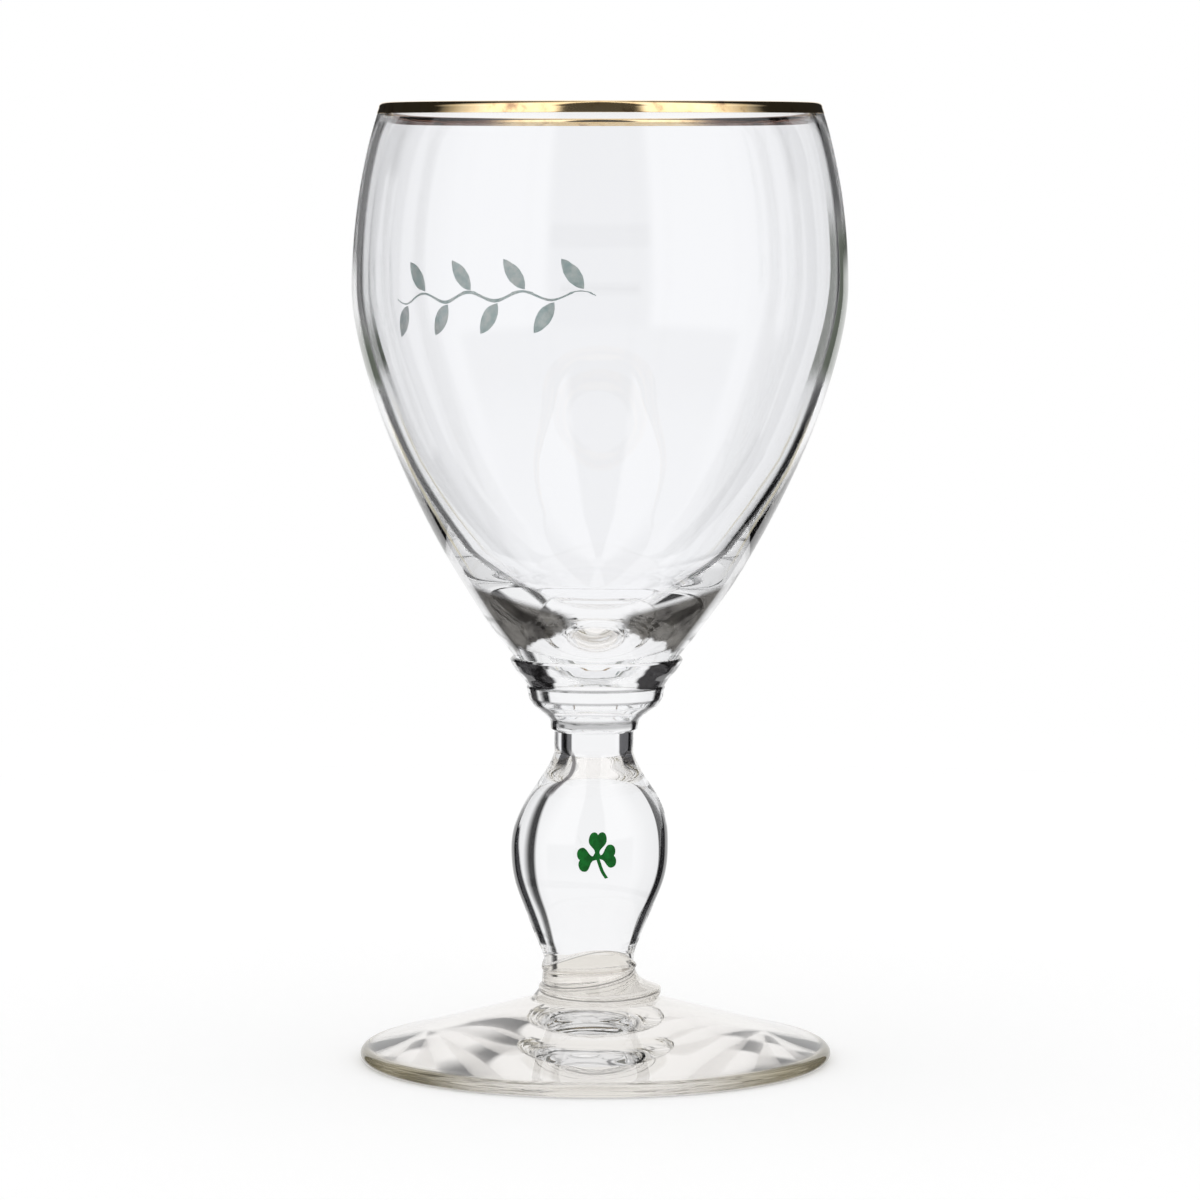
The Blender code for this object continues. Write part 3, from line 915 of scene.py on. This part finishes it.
rays = tree.nodes.new("ShaderNodeLightPath").outputs
far = tree.nodes.new("ShaderNodeVectorMath")
far.operation = "LENGTH"
place = tree.nodes.new("ShaderNodeTexCoord")
tree.links.new(place.outputs["Object"], far.inputs[0])
out_from_middle = far.outputs["Value"]
by_glass = calc(tree, "MAXIMUM", rays["Is Glossy Ray"], rays["Is Transmission Ray"])
seen = calc(tree, "MAXIMUM", rays["Is Camera Ray"], by_glass)
# Painted light: through the glass the floor glows brighter, most of all under the stem
under = calc(tree, "MULTIPLY", rise(tree, out_from_middle, 0.018, 0.01), 0.24)
under = calc(tree, "MULTIPLY", calc(tree, "ADD", under, 0.12), rays["Is Transmission Ray"])
glow = calc(tree, "MULTIPLY", seen, calc(tree, "ADD", under, 0.3))
tree.links.new(glow, shader.inputs["Emission Strength"])
# Glass and metal look past the floor to the screens
past = calc(tree, "MULTIPLY", by_glass, rise(tree, out_from_middle, 0.031, 0.034))
fade = rise(tree, out_from_middle, FLOOR_R, FLOOR_FADE)
keep = calc(tree, "MULTIPLY", fade, calc(tree, "SUBTRACT", 1.0, past))
tree.links.new(keep, shader.inputs["Alpha"])
floor.data.materials.append(material)

# World: even white light, and for glass and metal a dim room
world = bpy.data.worlds.new("studio")
bpy.context.scene.world = world
world.use_nodes = True
tree = world.node_tree
tree.nodes.clear()


def background(colour, strength):
    node = tree.nodes.new("ShaderNodeBackground")
    node.inputs["Color"].default_value = (*colour, 1)
    node.inputs["Strength"].default_value = strength
    return node.outputs[0]


def mixed(share, first, second):
    node = tree.nodes.new("ShaderNodeMixShader")
    tree.links.new(share, node.inputs["Fac"])
    tree.links.new(first, node.inputs[1])
    tree.links.new(second, node.inputs[2])
    return node.outputs[0]


rays = tree.nodes.new("ShaderNodeLightPath").outputs
by_glass = calc(tree, "MAXIMUM", rays["Is Glossy Ray"], rays["Is Transmission Ray"])
room = mixed(by_glass, background((1, 1, 1), 0.9), background((0.8, 0.8, 0.82), 1.0))
room = mixed(rays["Is Camera Ray"], room, background((1, 1, 1), 1.0))
out = tree.nodes.new("ShaderNodeOutputWorld")
tree.links.new(room, out.inputs["Surface"])

# Screens: a ring of white sheets with dark gaps, which only glass and metal see
SCREEN_R = 0.207
SCREEN_TOP = 3.0
screens = shell("screens", [(SCREEN_R, -SCREEN_TOP), (SCREEN_R, SCREEN_TOP)], around=96)
screens.visible_camera = False
screens.visible_diffuse = False
screens.visible_shadow = False
material = bpy.data.materials.new("screens")
material.use_nodes = True
tree = material.node_tree
tree.nodes.clear()
screen_x, screen_y, level = coordinates(tree, "Object")
turn = calc(tree, "ARCTAN2", screen_x, screen_y)
away = calc(tree, "ABSOLUTE", turn)
share = tree.nodes.new("ShaderNodeMapRange")
share.inputs["From Min"].default_value = -math.pi
share.inputs["From Max"].default_value = math.pi
tree.links.new(turn, share.inputs["Value"])


def bands(spans, edge=0.7):
    """Light round the ring. spans are (from, to, light), in degrees from straight behind to the right."""
    stops = []
    for low, high, light in spans:
        stops.append(((low + edge + 180) / 360, (light,) * 3))
        stops.append(((high - edge + 180) / 360, (light,) * 3))
    return ramp_node(tree, share.outputs["Result"], stops).outputs["Color"]


def beyond(low, high):
    """1 where the ring is further round than high degrees from straight behind, 0 nearer than low."""
    return rise(tree, away, math.radians(low), math.radians(high))


DARK = 0.02
FRONT = 0.8
BACK = 0.95
SHEET = 1.5
CAMERA_GAP = 0.08
seen_through = bands([
    (-180, -100, FRONT),
    (-98, -80, BACK),
    (-80, -50, DARK),
    (-50, 31, BACK),
    (31, 38, DARK),
    (44, 64, BACK),
    (64, 80, DARK),
    (80, 98, BACK),
    (100, 180, FRONT),
])
# At the height of the bowl the dark gaps are narrower
seen_high = bands([
    (-180, -100, FRONT),
    (-98, -80, BACK),
    (-80, -71, DARK),
    (-71, -59, BACK),
    (-59, -50, DARK),
    (-50, 31, BACK),
    (31, 38, DARK),
    (44, 66, BACK),
    (66, 75, DARK),
    (75, 98, BACK),
    (100, 180, FRONT),
])
seen_through = blend(tree, between(tree, level, -0.015, 0.16, 0.0075), seen_through, seen_high)
# What the far rim mirrors: a dark gap in front
gap = product(tree, beyond(157, 160), between(tree, level, 0.132, 0.15, 0.003))
seen_through = blend(tree, gap, seen_through, (0.1,) * 3)
seen_through = blend(tree, rise(tree, level, 0.27, 0.35), seen_through, (BACK,) * 3)

# What the glass and gold mirror first
seen_in = bands([
    (-180, -160, CAMERA_GAP),
    (-157, -122, SHEET),
    (-100, -99, 0.5),
    (-90, -20, DARK),
    (-20, 20, 1),
    (20, 90, DARK),
    (99, 100, 0.5),
    (122, 157, SHEET),
    (160, 180, CAMERA_GAP),
])
# The white sheet behind is wide low down, and the ground is plain
behind = product(tree, beyond(37, 35), rise(tree, level, 0.12, 0.11))
seen_in = blend(tree, behind, seen_in, (BACK,) * 3)
in_front = product(tree, beyond(112, 118), rise(tree, level, 0.06, 0.04))
seen_in = blend(tree, in_front, seen_in, (0.4,) * 3)
sides = between(tree, away, math.radians(33), math.radians(112), math.radians(3))
ground = product(tree, calc(tree, "SUBTRACT", 1.0, sides), rise(tree, level, 0.0, -0.06))
seen_in = blend(tree, ground, seen_in, (0.8,) * 3)

rays = tree.nodes.new("ShaderNodeLightPath").outputs
bounced = calc(tree, "SUBTRACT", 1.0, rays["Is Transmission Ray"])
light = tree.nodes.new("ShaderNodeEmission")
tree.links.new(blend(tree, bounced, seen_through, seen_in), light.inputs["Color"])
out = tree.nodes.new("ShaderNodeOutputMaterial")
tree.links.new(light.outputs[0], out.inputs["Surface"])
screens.data.materials.append(material)

# Camera
camera = bpy.data.cameras.new("camera")
camera.sensor_width = 36
camera.lens = 161.3
camera.clip_start = 0.01
eye = bpy.data.objects.new("camera", camera)
bpy.context.scene.collection.objects.link(eye)
eye.location = (0.66 * MM, -784 * MM, 134 * MM)
eye.rotation_euler = (math.radians(90 - 4.83), 0, 0)
bpy.context.scene.camera = eye

bpy.context.scene.view_settings.view_transform = "Standard"
bpy.context.scene.cycles.max_bounces = 32
bpy.context.scene.cycles.transmission_bounces = 32
bpy.context.scene.cycles.glossy_bounces = 16
